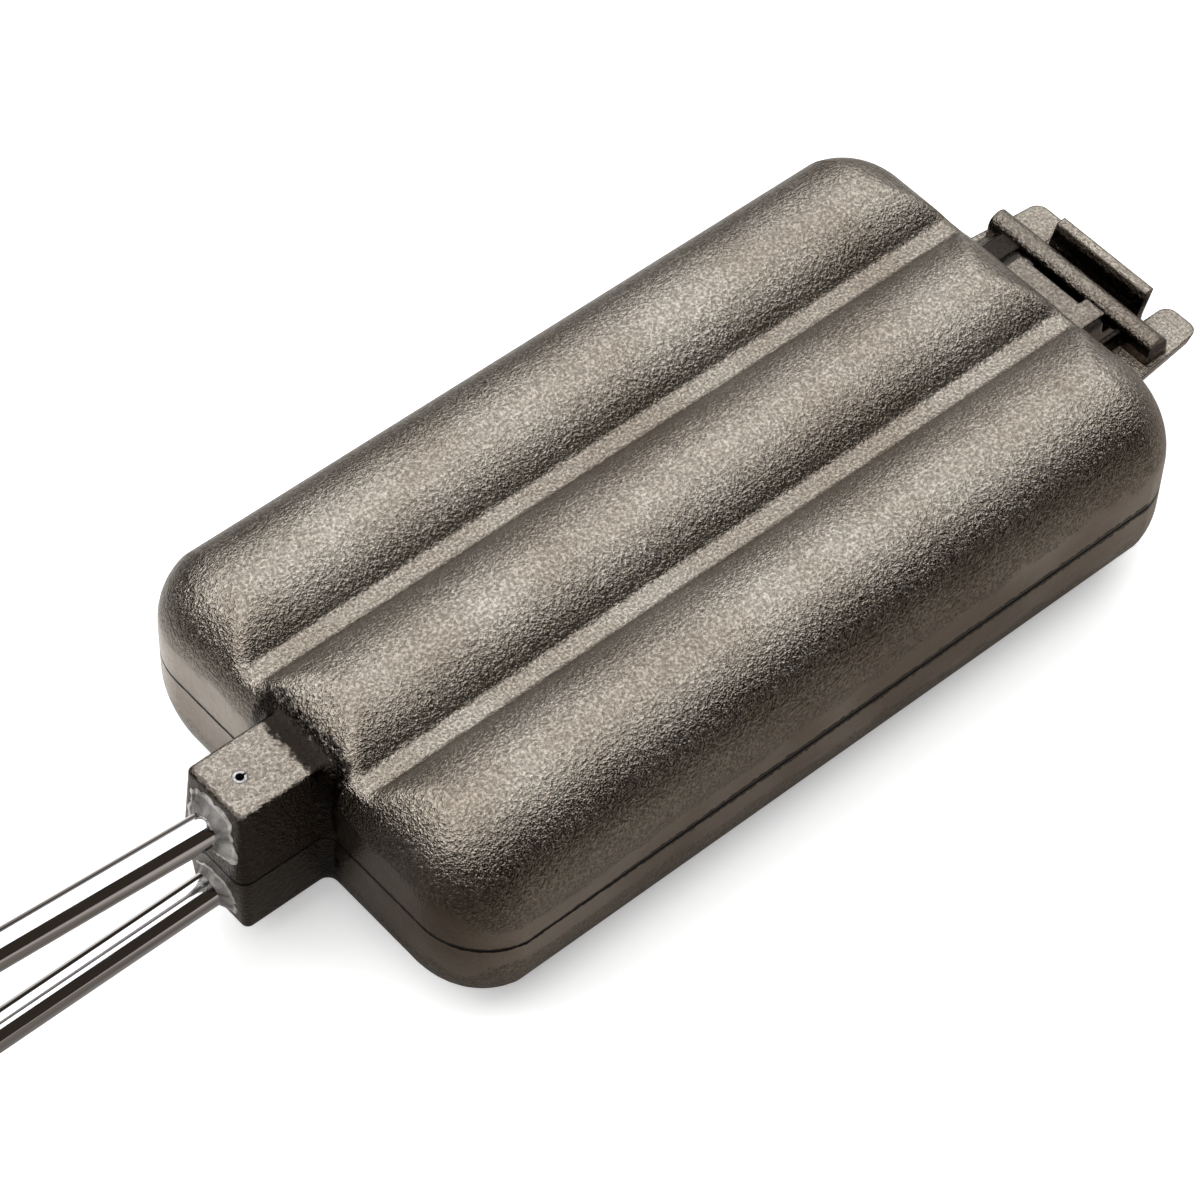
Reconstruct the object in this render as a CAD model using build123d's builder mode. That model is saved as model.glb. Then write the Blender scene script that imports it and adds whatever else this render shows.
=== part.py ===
from build123d import *
from math import atan, atan2, cos, degrees, hypot, radians, sin, sqrt, tan
import os

os.makedirs("parts", exist_ok=True)

# A campfire hot dog cooker: two hinged cast iron halves, each with three troughs
# and a long chromed handle rod that ends in a turned wooden grip.
# Millimetres. +X runs from the grips to the hinge, +Z is up, Y is across.
# The origin is under the middle of the overall length, on the table.

# Overall
overall_length = 724.0
head_length = 205.5
head_width = 114.3
parting_gap = 0.3

# Crowns and valleys of one half, as heights above the parting plane
crown_spacing = 0.3176
crown_axis = 6.9
valley_depth = 7.25
valley_round = 1.8
end_flat = 3.85
roll_cut = 0.3
end_soft = 4.0
trough_wall = 4.2
trough_end_wall = 5.6
trough_end_round = 9.0

# Socket block for the handle rod
block_length = 22.2
block_width = 21.0
block_top_width = 17.5
block_height = 20.2
block_corner = 3.0
block_flare = 3.0
block_inset = 0.6
block_edge = 1.2
block_foot_edge = 4.0
rod_height = 10.4
socket_depth = 19.0

# Handle rods
rod_diameter = 7.94
rod_clearance = 0.05
rod_end_chamfer = 0.6
upper_splay = 5.6
spring_pin_diameter = 3.0
spring_pin_wall = 0.55
spring_pin_slot = 0.5
spring_pin_length = 17.0
spring_pin_setback = 8.6
bead_reach = 2.4
bead_spread = 2.2
bead_edge = 0.4

# Hinge: a bar across two arms of the lower half, and a hook on the upper half
bar_diameter = 6.0
bar_reach = 20.9
bar_drop = 0.5
arm_reach = 35.0
arm_inner = 15.8
arm_outer_root = 29.2
arm_outer_tip = 25.8
arm_drop = 4.0
arm_thickness = 3.4
arm_draft = 0.9
arm_tip_radius = 3.0
post_width = 6.8
pad_start = 2.0
pad_rise = 4.5
pad_flat = 5.7
rib_rise = 3.8
rib_flat = 1.2
tongue_rise = 2.6
tongue_half_width = 12.3
tongue_step = 6.5
step_depth = 2.4
throat_clearance = 0.7
throat_floor = 0.6
hook_thickness = 3.3
lip_gap = 3.4
lip_lean = 19.5
lip_rise = 3.0
lip_thickness = 2.3
lip_half_width = 14.3
root_length = 2.4

# Turned grips
grip_length = 127.0
grip_diameter = 25.4
grip_nose_diameter = 17.5
grip_neck_diameter = 21.0
grip_butt_diameter = 22.5
grip_neck_place = 26.0
grip_wide_place = 72.0
grip_heel = 35.0
grip_end_round = 3.0
grip_rest_gap = 0.3
grip_pin_diameter = 2.4
grip_pin_place = 14.0

# Handle latch, on the sides of the two grips
latch_place = 20.0
latch_width = 11.0
latch_end_diameter = 17.0
latch_thickness = 2.0
latch_mouth = 6.2
latch_clearance = 0.5
latch_play = 0.3
pivot_clearance = 0.08
screw_diameter = 4.0
screw_head_diameter = 9.0
screw_head_height = 3.0
screw_head_round = 2.4
screw_depth = 8.0
screw_slot_width = 1.2
screw_slot_depth = 1.1
spacer_diameter = 9.5
spacer_seat_depth = 0.9

# Worked out from the sizes above
tube_pitch = round(head_width * crown_spacing, 1)
crown_radius = head_width / 2 - tube_pitch
crest = crown_axis + crown_radius
valley_height = crest - valley_depth
end_radius = crown_radius - end_flat
trough_radius = crown_radius - trough_wall
trough_length = head_length - 2 * trough_end_wall
parting_height = crest
half_gap = parting_gap / 2
block_draft = degrees(atan((block_width - block_top_width) / 2 / (block_height - half_gap)))
tube_places = (-tube_pitch, 0, tube_pitch)
head_start = overall_length / 2 - head_length - arm_reach
head_end = head_start + head_length
head_middle = (head_start + head_end) / 2
block_front = head_start - block_length
tip_x = head_end + arm_reach
bar_radius = bar_diameter / 2
bar_x = head_end + bar_reach
rod_radius = rod_diameter / 2
socket_radius = rod_radius + rod_clearance
grip_radius = grip_diameter / 2
grip_bore_depth = grip_length - grip_heel
butt_x = -overall_length / 2

# The lower rod slopes down until its grip is just clear of the table
lower_rod_z = parting_height - rod_height
upper_rod_z = parting_height + rod_height
grip_wide_x = butt_x + grip_length - grip_wide_place
grip_drop = lower_rod_z - grip_radius - grip_rest_gap
lower_splay = -degrees(atan(grip_drop / (block_front - grip_wide_x)))


def rod_plane(z, splay):
    """Plane square to a rod at its socket's mouth, with its normal pointing at the grip."""
    rise = radians(splay)
    return Plane(origin=(block_front, 0, z), x_dir=(0, 1, 0), z_dir=(-cos(rise), 0, sin(rise)))


upper_line = rod_plane(upper_rod_z, upper_splay)
lower_line = rod_plane(lower_rod_z, lower_splay)


def reach_to_butt(splay):
    """Distance along a rod's line at which its grip's rounded butt just ends the overall length."""
    lean = radians(abs(splay))
    rounded = grip_butt_diameter / 2 - grip_end_round
    return grip_end_round + (block_front - butt_x - grip_end_round - rounded * sin(lean)) / cos(lean)


upper_reach = reach_to_butt(upper_splay)
lower_reach = reach_to_butt(lower_splay)


def side_plane(y=0.0):
    """Upright plane along the head: local x runs along X, local y up from the parting plane."""
    return Plane(origin=(0, y, parting_height), x_dir=(1, 0, 0), z_dir=(0, -1, 0))


def section_plane(x):
    """Upright plane across the head: local x runs along Y, local y up from the parting plane."""
    return Plane(origin=(x, 0, parting_height), x_dir=(0, 1, 0), z_dir=(1, 0, 0))


def rolled_outline(height):
    """Draws the head's length on the local x axis, with both ends of its top rolled over.

    The arc of the roll passes just above the top line, so that the two meet at a slight
    angle and the edge between them can be rounded all the way across the crowns.
    """
    centre = height - end_radius + roll_cut
    run = sqrt(end_radius**2 - (end_radius - roll_cut) ** 2)
    start = RadiusArc((head_start, centre), (head_start + end_radius - run, height), end_radius)
    top = Line(start @ 1, (head_end - end_radius + run, height))
    end = RadiusArc(top @ 1, (head_end, centre), end_radius)
    Polyline(end @ 1, (head_end, 0), (head_start, 0), start @ 0)


def trough_vault(y):
    """Upper half of a round bar with rounded ends, lying along X on the axis of one crown."""
    level = Plane(origin=(head_middle, y, parting_height + crown_axis))
    with BuildPart() as vault:
        with BuildSketch(level) as profile:
            Rectangle(trough_length, trough_radius, align=(Align.CENTER, Align.MIN))
            fillet(profile.vertices().group_by(Axis.Y)[-1], trough_end_round)
        revolve(axis=Axis(level.origin, (1, 0, 0)), revolution_arc=180)
    return vault.part


vaults = [trough_vault(y) for y in tube_places]


def is_end_crease(edge):
    """True for the edges where the rolled ends cut across the crowns and valleys."""
    place = edge.center()
    return (
        abs(place.X - head_middle) > head_length / 2 - end_radius
        and place.Z > parting_height + crest - end_radius + 2 * roll_cut
        and abs(place.Y) < tube_pitch - roll_cut
    )


# The head between the crests of the outer crowns, above the parting plane
with BuildPart() as middle:
    with BuildSketch(section_plane(head_start)) as section:
        with Locations([(y, crown_axis) for y in tube_places]):
            Circle(crown_radius)
        Rectangle(2 * tube_pitch, valley_height, align=(Align.CENTER, Align.MIN))
        Rectangle(2 * tube_pitch, 2 * crest, mode=Mode.INTERSECT)
        with Locations((0, half_gap)):
            Rectangle(head_width, crest, align=(Align.CENTER, Align.MIN), mode=Mode.INTERSECT)
        feet = section.vertices().filter_by(lambda v: abs(v.Y - valley_height) < half_gap)
        fillet(feet, valley_round)
    extrude(amount=head_length)
    with BuildSketch(side_plane()):
        with BuildLine():
            rolled_outline(crest)
        make_face()
    extrude(amount=tube_pitch, both=True, mode=Mode.INTERSECT)
    fillet(middle.edges().filter_by(is_end_crease), end_soft)

# One half of the head above the parting plane. The -Y side of it is built, then mirrored.
shoulder = Plane(origin=(0, -tube_pitch, parting_height + crown_axis), x_dir=(1, 0, 0), z_dir=(0, -1, 0))
underside = Plane(origin=(0, 0, parting_height + half_gap), x_dir=(1, 0, 0), z_dir=(0, 0, -1))
with BuildPart() as half_head:
    # Outer flank of the outer crown, turned about the crown's axis
    with BuildSketch(shoulder) as profile:
        with BuildLine():
            rolled_outline(crown_radius)
        make_face()
        fillet(profile.vertices().group_by(Axis.Y)[-1], end_soft)
    revolve(axis=Axis(shoulder.origin, (1, 0, 0)), revolution_arc=90)
    # Upright rim below it
    with BuildSketch(underside) as profile:
        with BuildLine():
            rolled_outline(head_width / 2)
        make_face()
        fillet(profile.vertices().group_by(Axis.Y)[-1], end_soft)
    extrude(amount=half_gap - crown_axis)
    add(middle.part)
    split(bisect_by=Plane.XZ, keep=Keep.TOP)
    mirror(about=Plane.XZ)
    # Troughs
    with BuildSketch(Plane.XY.offset(parting_height)):
        for y in tube_places:
            with Locations((head_middle, y)):
                RectangleRounded(trough_length, 2 * trough_radius, trough_end_round)
    extrude(amount=crown_axis, mode=Mode.SUBTRACT)
    add(vaults, mode=Mode.SUBTRACT)


def socket_block(edge_round):
    """Drafted block above the parting plane that holds a rod."""
    inside = head_start + trough_end_wall - block_inset
    with BuildPart() as block:
        with BuildSketch(Plane.XY.offset(parting_height + half_gap)) as plan:
            with Locations((block_front, 0)):
                Rectangle(inside - block_front, block_width, align=(Align.MIN, Align.CENTER))
            fillet(plan.vertices().group_by(Axis.X)[0], block_corner)
        extrude(amount=block_height - half_gap, taper=block_draft)
        rim = block.faces().sort_by(Axis.Z)[-1].edges()
        fillet(rim.filter_by(lambda e: e.center().X < head_start), edge_round)
    return block.part


def is_block_corner(edge):
    """True for the inside corner that runs round the socket block where it meets the head."""
    place = edge.center()
    return (
        head_start - half_gap < place.X < head_start + end_radius / 4
        and abs(place.Y) < block_width / 2
        and parting_height + parting_gap < place.Z < parting_height + block_height + half_gap
    )


def half_casting(edge_round):
    """Half head with its socket block, flared where the two join."""
    block = socket_block(edge_round)
    with BuildPart() as half:
        add(half_head.part)
        add(block)
        fillet(half.edges().filter_by(is_block_corner), block_flare)
    return half.part


def spring_pin(plane):
    """Rolled steel pin with a slot along its length."""
    with BuildPart() as pin:
        with BuildSketch(plane):
            Circle(spring_pin_diameter / 2)
            Circle(spring_pin_diameter / 2 - spring_pin_wall, mode=Mode.SUBTRACT)
            with Locations((spring_pin_diameter / 2, 0)):
                Rectangle(spring_pin_diameter, spring_pin_slot, mode=Mode.SUBTRACT)
        extrude(amount=-spring_pin_length)
    return pin.part


pin_x = block_front + spring_pin_setback
upper_pin_plane = Plane(origin=(pin_x, 0, parting_height + block_height))
lower_pin_plane = Plane(origin=(pin_x, 0, parting_height - block_height), x_dir=(1, 0, 0), z_dir=(0, 0, -1))


# Upper casting: a half head with the tongue that ends in the hook
throat_x = bar_x - bar_radius - throat_clearance
floor_drop = bar_drop + bar_radius + throat_floor
base_drop = floor_drop + hook_thickness
lean_shift = tan(radians(lip_lean)) * (lip_rise + floor_drop) / 2
lip_x = bar_x + bar_radius + lip_gap
upper_half = half_casting(block_edge)
with BuildPart() as upper_casting:
    add(upper_half)
    with BuildSketch(side_plane()):
        with BuildLine():
            Polyline(
                (head_end - root_length, half_gap),
                (head_end + root_length, half_gap),
                (throat_x - hook_thickness, -base_drop),
                (lip_x - lean_shift, -base_drop),
                (lip_x - lean_shift, -floor_drop),
                (throat_x + throat_clearance, -floor_drop),
                (throat_x, -floor_drop + throat_clearance),
                (throat_x, tongue_rise),
                (head_end - root_length, tongue_rise),
                close=True,
            )
        make_face()
    extrude(amount=tongue_half_width, both=True)
    with BuildSketch(side_plane()) as lip:
        with BuildLine():
            Polyline(
                (lip_x - lean_shift, -base_drop),
                (lip_x - lean_shift + lip_thickness, -base_drop),
                (lip_x - lean_shift + lip_thickness, -floor_drop),
                (lip_x + lean_shift + lip_thickness, lip_rise),
                (lip_x + lean_shift, lip_rise),
                (lip_x - lean_shift, -floor_drop),
                close=True,
            )
        make_face()
    extrude(amount=lip_half_width, both=True)
    # The throat is wider along most of the bar than at one end of it
    with BuildSketch(side_plane(-tongue_step)):
        with Locations((throat_x, tongue_rise)):
            Rectangle(step_depth, tongue_rise + bar_drop, align=(Align.MAX, Align.MAX))
    extrude(amount=-(tongue_half_width + tongue_step), mode=Mode.SUBTRACT)
    with BuildSketch(upper_line):
        Circle(socket_radius)
    extrude(amount=-socket_depth, mode=Mode.SUBTRACT)
    with BuildSketch(upper_pin_plane):
        Circle(spring_pin_diameter / 2)
    extrude(amount=-spring_pin_length, mode=Mode.SUBTRACT)
upper_casting.part.label = "upper_casting"
export_step(upper_casting.part, "parts/upper_casting.step")

# Lower casting: a half head turned over, with the arms, posts and bar of the hinge
lower_half = half_casting(block_foot_edge)
with BuildPart() as lower_casting:
    parting = Plane.XY.offset(parting_height)
    add(mirror(lower_half, about=parting, mode=Mode.PRIVATE))
    for side in (-1, 1):
        with BuildSketch(Plane.XY.offset(parting_height - arm_drop)) as arm:
            with BuildLine():
                Polyline(
                    (head_end - root_length, side * arm_inner),
                    (tip_x, side * arm_inner),
                    (tip_x, side * arm_outer_tip),
                    (head_end, side * arm_outer_root),
                    (head_end - root_length, side * arm_outer_root),
                    close=True,
                )
            make_face()
            fillet(arm.vertices().group_by(Axis.X)[-1], arm_tip_radius)
        extrude(amount=-arm_thickness, taper=degrees(atan(arm_draft / arm_thickness)))
        # Post under the end of the bar
        with BuildSketch(side_plane(side * arm_inner)):
            with BuildLine():
                Polyline(
                    (bar_x - post_width / 2, -arm_drop),
                    (bar_x + post_width / 2, -arm_drop),
                    (bar_x + bar_radius, -bar_drop),
                    (bar_x - bar_radius, -bar_drop),
                    close=True,
                )
            make_face()
        extrude(amount=-side * (arm_outer_tip - arm_inner))
    with BuildSketch(side_plane()):
        with Locations((bar_x, -bar_drop)):
            Circle(bar_radius)
    extrude(amount=arm_outer_tip, both=True)
    # Raised pad on one arm and a low rib on the other, either side of the tongue
    for side, rise, flat in ((1, pad_rise, pad_flat), (-1, rib_rise, rib_flat)):
        with BuildSketch(section_plane(head_end + pad_start)):
            with BuildLine():
                Polyline(
                    (side * arm_inner, -arm_drop - arm_thickness / 2),
                    (side * arm_inner, rise - arm_drop),
                    (side * (arm_inner + flat), rise - arm_drop),
                    (side * (arm_inner + flat + rise * flat / pad_flat), -arm_drop),
                    (side * (arm_inner + flat + rise * flat / pad_flat), -arm_drop - arm_thickness / 2),
                    close=True,
                )
            make_face()
        extrude(amount=bar_reach - pad_start)
    with BuildSketch(lower_line):
        Circle(socket_radius)
    extrude(amount=-socket_depth, mode=Mode.SUBTRACT)
    with BuildSketch(lower_pin_plane):
        Circle(spring_pin_diameter / 2)
    extrude(amount=-spring_pin_length, mode=Mode.SUBTRACT)
lower_casting.part.label = "lower_casting"
export_step(lower_casting.part, "parts/lower_casting.step")


def across(line, along):
    """Plane through a rod's axis at a distance along it, with its normal along Y."""
    return Plane(origin=line.origin + line.z_dir * along, x_dir=line.z_dir, z_dir=(0, 1, 0))


def handle_rod(line, reach, pin_plane):
    """Chromed rod from the bottom of its socket to the bottom of the grip's bore."""
    with BuildPart() as rod:
        with BuildSketch(line.offset(-socket_depth)):
            Circle(rod_radius)
        extrude(amount=socket_depth + reach - grip_length + grip_bore_depth)
        chamfer(rod.edges().filter_by(GeomType.CIRCLE), rod_end_chamfer)
        with BuildSketch(pin_plane):
            Circle(spring_pin_diameter / 2)
        extrude(amount=-spring_pin_length, mode=Mode.SUBTRACT)
        with BuildSketch(across(line, reach - grip_length + grip_pin_place)):
            Circle(grip_pin_diameter / 2)
        extrude(amount=rod_diameter, both=True, mode=Mode.SUBTRACT)
    return rod.part


def sealing_bead(line):
    """Ring of grey cement where a rod leaves its socket."""
    with BuildPart() as bead:
        section = Plane(origin=line.origin, x_dir=line.z_dir, z_dir=line.x_dir)
        with BuildSketch(section) as profile:
            with BuildLine():
                inner = Line((bead_reach, rod_radius), (bead_edge, rod_radius))
                foot = Polyline(inner @ 1, (bead_edge, rod_radius + bead_spread))
                RadiusArc(foot @ 1, inner @ 0, bead_spread + bead_reach)
            make_face()
        revolve(axis=Axis(line.origin, line.z_dir))
    return bead.part


def grip_radius_at(along):
    """Radius of the grip behind its widest place, which narrows along a parabola to the butt."""
    share = (along - grip_wide_place) / (grip_length - grip_wide_place)
    return grip_radius - (grip_diameter - grip_butt_diameter) / 2 * share**2


def turned_grip(line, reach, screw_plane, seat=0.0):
    """Wooden grip, bored for its rod, cross pinned at its nose and drilled for a latch screw."""
    nose = reach - grip_length
    with BuildPart() as grip:
        section = Plane(origin=line.origin, x_dir=line.z_dir, z_dir=line.x_dir)
        with BuildSketch(section):
            with BuildLine():
                face = Line((nose, 0), (nose, grip_nose_diameter / 2 - grip_end_round))
                front = TangentArc(
                    face @ 1, (nose + grip_end_round, grip_nose_diameter / 2), tangent=(0, 1))
                belly = Spline(
                    front @ 1,
                    (nose + grip_neck_place, grip_neck_diameter / 2),
                    (nose + grip_wide_place, grip_radius),
                    (reach - latch_place, grip_radius_at(grip_length - latch_place)),
                    (reach - grip_end_round, grip_radius_at(grip_length - grip_end_round)),
                )
                heel = TangentArc(
                    belly @ 1, (reach, (belly @ 1).Y - grip_end_round), tangent=(1, 0))
                Polyline(heel @ 1, (reach, 0), (nose, 0))
            make_face()
        revolve(axis=Axis(line.origin, line.z_dir))
        with BuildSketch(line.offset(nose)):
            Circle(socket_radius)
        extrude(amount=grip_bore_depth, mode=Mode.SUBTRACT)
        with BuildSketch(across(line, nose + grip_pin_place)):
            Circle(grip_pin_diameter / 2)
        extrude(amount=grip_radius, both=True, mode=Mode.SUBTRACT)
        if seat:
            with BuildSketch(screw_plane.offset(screw_seat - seat)):
                Circle(spacer_diameter / 2)
            extrude(amount=grip_radius, mode=Mode.SUBTRACT)
        with BuildSketch(screw_plane.offset(screw_seat - screw_depth)):
            Circle(screw_diameter / 2)
        extrude(amount=grip_radius, mode=Mode.SUBTRACT)
    return grip.part


def grip_pin(line, reach):
    """Steel cross pin, cut off flush with the wood on both sides."""
    pin_half = grip_nose_diameter / 2
    with BuildPart() as pin:
        with BuildSketch(across(line, reach - grip_length + grip_pin_place)):
            Circle(grip_pin_diameter / 2)
        extrude(amount=pin_half, both=True)
    return pin.part


def round_head_screw(screw_plane, stand):
    """Slotted round head wood screw, whose head stands off the axis of the grip."""
    with BuildPart() as screw:
        with BuildSketch(screw_plane.offset(screw_seat - screw_depth)):
            Circle(screw_diameter / 2)
        extrude(amount=stand - screw_seat + screw_depth)
        with BuildSketch(screw_plane.offset(stand)):
            Circle(screw_head_diameter / 2)
        extrude(amount=screw_head_height)
        fillet(screw.edges().group_by(Axis.Y)[-1], screw_head_round)
        with BuildSketch(screw_plane.offset(stand + screw_head_height)):
            Rectangle(screw_head_diameter, screw_slot_width)
        extrude(amount=-screw_slot_depth, mode=Mode.SUBTRACT)
    return screw.part


# The latch turns on the upper grip's screw and hooks over the lower grip's screw
screw_seat = grip_radius_at(grip_length - latch_place)
latch_inner = grip_radius + latch_clearance
latch_outer = latch_inner + latch_thickness
head_stand = latch_outer + latch_play
pivot = across(upper_line, upper_reach - latch_place)
catch = across(lower_line, lower_reach - latch_place)
latch_reach = hypot(pivot.origin.X - catch.origin.X, pivot.origin.Z - catch.origin.Z)

for name, line, reach, pin_plane in (
    ("upper", upper_line, upper_reach, upper_pin_plane),
    ("lower", lower_line, lower_reach, lower_pin_plane),
):
    rod = handle_rod(line, reach, pin_plane)
    rod.label = name + "_rod"
    export_step(rod, "parts/" + name + "_rod.step")
    pin = spring_pin(pin_plane)
    pin.label = name + "_spring_pin"
    export_step(pin, "parts/" + name + "_spring_pin.step")
    bead = sealing_bead(line)
    bead.label = name + "_sealing_bead"
    export_step(bead, "parts/" + name + "_sealing_bead.step")
    cross_pin = grip_pin(line, reach)
    cross_pin.label = name + "_grip_pin"
    export_step(cross_pin, "parts/" + name + "_grip_pin.step")

upper_grip = turned_grip(upper_line, upper_reach, pivot, spacer_seat_depth)
upper_grip.label = "upper_grip"
export_step(upper_grip, "parts/upper_grip.step")

lower_grip = turned_grip(lower_line, lower_reach, catch)
lower_grip.label = "lower_grip"
export_step(lower_grip, "parts/lower_grip.step")

latch_screw = round_head_screw(pivot, head_stand)
latch_screw.label = "latch_screw"
export_step(latch_screw, "parts/latch_screw.step")

catch_screw = round_head_screw(catch, head_stand)
catch_screw.label = "catch_screw"
export_step(catch_screw, "parts/catch_screw.step")

# Spacer that holds the latch clear of the grip's belly
with BuildPart() as latch_spacer:
    with BuildSketch(pivot.offset(screw_seat - spacer_seat_depth)):
        Circle(spacer_diameter / 2)
        Circle(screw_diameter / 2, mode=Mode.SUBTRACT)
    extrude(amount=latch_inner - latch_play - screw_seat + spacer_seat_depth)
latch_spacer.part.label = "latch_spacer"
export_step(latch_spacer.part, "parts/latch_spacer.step")

# Flat steel latch, swung forward along the upper grip. Its mouth opens on the side that
# leads as it swings down, and the catch screw runs into it along the arc of the swing.
with BuildPart() as latch_hook:
    with BuildSketch(pivot.offset(latch_inner)):
        Circle(latch_width / 2)
        with Locations((-latch_reach / 2, 0)):
            Rectangle(latch_reach, latch_width)
        with Locations((-latch_reach, 0)):
            Circle(latch_end_diameter / 2)
            Circle(latch_mouth / 2, mode=Mode.SUBTRACT)
            Rectangle(latch_mouth, latch_end_diameter, align=(Align.CENTER, Align.MAX), mode=Mode.SUBTRACT)
        Circle(screw_diameter / 2 + pivot_clearance, mode=Mode.SUBTRACT)
    extrude(amount=latch_thickness)
latch_hook.part.label = "latch_hook"
export_step(latch_hook.part, "parts/latch_hook.step")

# The swing that brings the mouth onto the catch screw
latched = atan2(pivot.origin.Z - catch.origin.Z, catch.origin.X - pivot.origin.X)
print("hinge axis", bar_x, 0, parting_height - bar_drop)
print("latch axis", pivot.origin.X, latch_inner, pivot.origin.Z)
print("latch reach", latch_reach, "latched at degrees", degrees(latched) - upper_splay)
print("lower splay", lower_splay, "trough radius", trough_radius)
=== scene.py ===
# %% [markdown]
# # A cast iron campfire hot dog cooker
# The cooker is two heavy sand castings with three long crowns each, hinged at the far end
# and carried on chromed rods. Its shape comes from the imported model, and this notebook
# gives it its skin: grainy oiled iron, ground rims, bright chrome, turned wood and steel.

# %% Load the fixed frame
from math import cos, pi, radians, sin

import bmesh
import bpy
from mathutils import Matrix, Vector, noise


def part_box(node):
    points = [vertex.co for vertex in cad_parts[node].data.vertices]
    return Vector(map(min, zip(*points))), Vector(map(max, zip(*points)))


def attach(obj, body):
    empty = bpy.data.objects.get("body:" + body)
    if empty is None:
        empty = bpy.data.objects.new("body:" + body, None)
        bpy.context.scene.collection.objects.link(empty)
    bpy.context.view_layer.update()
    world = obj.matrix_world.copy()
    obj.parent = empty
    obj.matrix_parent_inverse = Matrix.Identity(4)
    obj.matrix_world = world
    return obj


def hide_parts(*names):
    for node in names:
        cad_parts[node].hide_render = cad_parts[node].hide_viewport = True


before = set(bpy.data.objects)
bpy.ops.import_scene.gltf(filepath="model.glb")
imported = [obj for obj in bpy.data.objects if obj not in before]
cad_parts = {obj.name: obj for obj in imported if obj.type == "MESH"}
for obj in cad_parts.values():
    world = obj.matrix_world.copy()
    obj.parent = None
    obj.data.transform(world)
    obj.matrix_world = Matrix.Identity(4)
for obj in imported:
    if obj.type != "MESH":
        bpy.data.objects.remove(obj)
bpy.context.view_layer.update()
MM = 0.001
print("nodes:", sorted(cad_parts))

# %% [markdown]
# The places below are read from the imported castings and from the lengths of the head, its
# hinge and its socket blocks. The parting plane, where the two halves meet, lies midway
# between the lowest and the highest point of the two castings.

# %% Landmarks of the cooker
HEAD_LENGTH = 205.5 * MM
HEAD_WIDTH = 114.3 * MM
HINGE_REACH = 35.0 * MM
BLOCK_LENGTH = 22.2 * MM

lower_low, lower_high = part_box("lower_casting")
upper_low, upper_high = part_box("upper_casting")
parting_z = (lower_low.z + upper_high.z) / 2
head_end = lower_high.x - HINGE_REACH
head_start = head_end - HEAD_LENGTH
head_centre = Vector((head_start + HEAD_LENGTH / 2, 0, parting_z))
block_front = head_start - BLOCK_LENGTH
print("parting plane at", round(parting_z / MM, 2), "mm, head from", round(head_start / MM, 1))

# %% [markdown]
# ## The camera
# The photograph looks down at the head from the near left, with a long lens. The angles
# below place the camera on a line through the point of the parting plane that it aims at.

# %% Camera
AIM_FROM_HEAD_START = 82.5 * MM
AIM_ACROSS = -0.3 * MM
CAMERA_DISTANCE = 921.4 * MM
CAMERA_HEADING = radians(42.93)
CAMERA_ELEVATION = radians(51.62)
CAMERA_ROLL = radians(2.52)
LENS_MM = 129.5
SENSOR_MM = 36.0

aim = Vector((head_start + AIM_FROM_HEAD_START, AIM_ACROSS, parting_z))
forward = Vector((
    sin(CAMERA_HEADING) * cos(CAMERA_ELEVATION),
    cos(CAMERA_HEADING) * cos(CAMERA_ELEVATION),
    -sin(CAMERA_ELEVATION),
))
level_right = forward.cross(Vector((0, 0, 1))).normalized()
right = Matrix.Rotation(-CAMERA_ROLL, 3, forward) @ level_right
up = right.cross(forward)
camera_data = bpy.data.cameras.new("camera")
camera_data.lens = LENS_MM
camera_data.sensor_width = SENSOR_MM
camera = bpy.data.objects.new("camera", camera_data)
camera.matrix_world = Matrix((
    (right.x, up.x, -forward.x, 0),
    (right.y, up.y, -forward.y, 0),
    (right.z, up.z, -forward.z, 0),
    (0, 0, 0, 1),
))
camera.location = aim - forward * CAMERA_DISTANCE
bpy.context.scene.collection.objects.link(camera)
bpy.context.scene.camera = camera
print("camera at", [round(v / MM, 1) for v in camera.location])

# %% [markdown]
# ## Colour and nodes
# Paint colours are written as sRGB hex, the way a picker shows them, and turned to the
# linear values that shaders add and multiply. One helper adds any node.

# %% Colour and node helpers
def colour(hex_code):
    """Linear RGBA from an sRGB hex code."""
    channels = [int(hex_code[i:i + 2], 16) / 255 for i in (1, 3, 5)]
    linear = [c / 12.92 if c <= 0.04045 else ((c + 0.055) / 1.055) ** 2.4 for c in channels]
    return (*linear, 1.0)


def node(tree, kind, links=None, out=None, stops=None, **settings):
    """Adds a node with its settings and links, and returns it, or its output named by out.

    links maps an input's name or number to an output socket or a value. stops are the
    (place, hex) pairs of a colour ramp.
    """
    made = tree.nodes.new(kind)
    for key, value in settings.items():
        setattr(made, key, value)
    for key, value in (links or {}).items():
        socket = made.inputs[key]
        if isinstance(value, bpy.types.NodeSocket):
            tree.links.new(value, socket)
        else:
            socket.default_value = value
    for index, (stop, hex_code) in enumerate(stops or []):
        elements = made.color_ramp.elements
        element = elements[index] if index < len(elements) else elements.new(stop)
        element.position = stop
        element.color = colour(hex_code)
    return made if out is None else made.outputs[out]


def new_material(name):
    """An empty node material with its output and a Principled shader."""
    material = bpy.data.materials.new(name)
    material.use_nodes = True
    tree = material.node_tree
    tree.nodes.clear()
    shader = node(tree, "ShaderNodeBsdfPrincipled")
    node(tree, "ShaderNodeOutputMaterial", {"Surface": shader.outputs["BSDF"]})
    return material, tree, shader


def per_metre(size_mm):
    """Texture scale that gives features of about this size in millimetres."""
    return 1000.0 / size_mm


def span(start_mm, end_mm, origin=0.0):
    """Limits of a Map Range node, in millimetres past an origin that is in metres."""
    return {"From Min": origin + start_mm * MM, "From Max": origin + end_mm * MM}


print("linear mid grey:", round(colour("#808080")[0], 3))

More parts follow.
